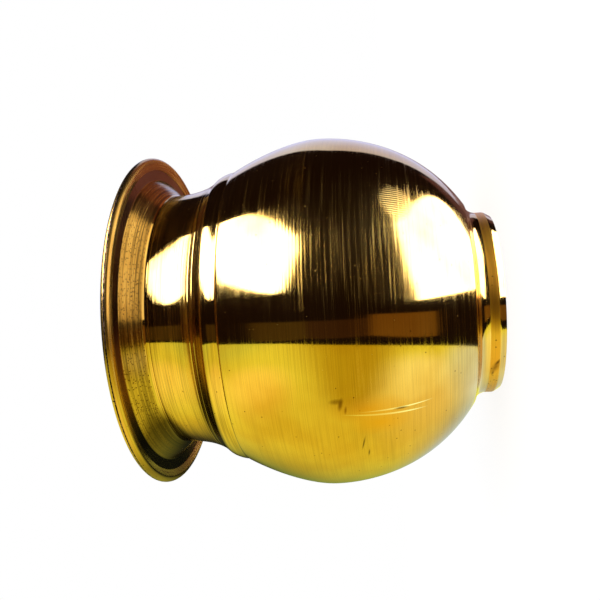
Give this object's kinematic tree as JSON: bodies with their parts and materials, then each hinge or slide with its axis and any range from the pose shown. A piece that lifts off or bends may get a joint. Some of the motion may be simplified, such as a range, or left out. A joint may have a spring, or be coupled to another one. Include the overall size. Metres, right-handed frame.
{
  "type": "lota water vessel",
  "caption": "Small round-bellied brass water vessel with a collared neck, trumpet-flared mouth, beaded lip and plain foot ring.",
  "frame": {"origin": "centre of the circle on which the foot ring rests", "axes": "+Z is the axis of the vessel, from the foot to the open mouth; X and Y are equal in a turned vessel"},
  "size_m": [0.075, 0.075, 0.0731],
  "materials": {
    "polished_brass": "turned and polished",
    "braze": "as brazed"
  },
  "bodies": {
    "root": {"lip_ring": "polished_brass", "mouth_spinning": "polished_brass", "neck_collar": "polished_brass", "upper_body": "polished_brass", "lower_body": "polished_brass", "foot_ring": "polished_brass", "neck_braze": "braze", "belly_braze": "braze", "foot_braze": "braze"}
  },
  "joints": []
}
